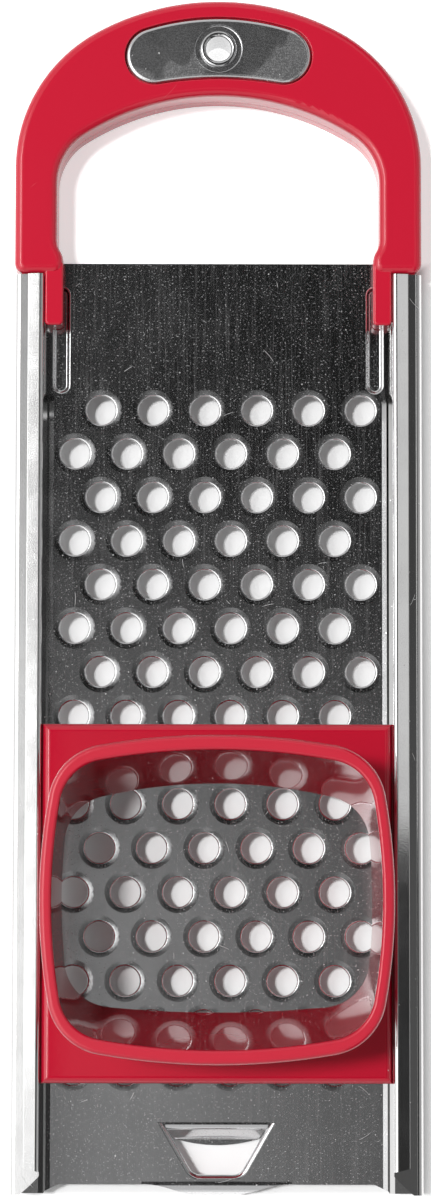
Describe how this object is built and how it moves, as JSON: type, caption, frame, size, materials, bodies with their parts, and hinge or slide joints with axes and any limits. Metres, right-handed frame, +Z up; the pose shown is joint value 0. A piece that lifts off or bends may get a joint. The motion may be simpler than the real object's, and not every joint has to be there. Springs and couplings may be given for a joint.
{
  "type": "dumpling batter press",
  "caption": "Flat perforated steel plate with folded side rails, an arched two-part handle with a hanging eyelet, and an open hopper that slides along the rails.",
  "frame": {"origin": "middle of the underside of the bounding box, on the surface that the part lies on", "axes": "+Z up out of the plate on the hopper's side, +Y along the plate towards the handle, +X to the right when the handle is at the top"},
  "size_m": [0.1094, 0.321, 0.0518],
  "materials": {
    "plate_steel": "polished stainless sheet with fine scratches",
    "handle_plastic": "glossy red",
    "inlay_steel": "polished stainless sheet",
    "eyelet_steel": "bright",
    "screw_steel": "plain",
    "hopper_plastic": "very glossy red"
  },
  "bodies": {
    "plate_and_handle": {"grater_plate": "plate_steel", "handle_front_shell": "handle_plastic", "handle_back_shell": "handle_plastic", "handle_inlay_plate": "inlay_steel", "hanging_eyelet": "eyelet_steel", "eyelet_back_ring": "eyelet_steel", "leg_screws": "screw_steel"},
    "hopper": {"hopper_body": "hopper_plastic"}
  },
  "joints": [
    {"name": "hopper_slide", "type": "slide", "parent": "plate_and_handle", "child": "hopper", "axis": [0, 1, 0], "range_m": [-0.026, 0.1071]}
  ]
}
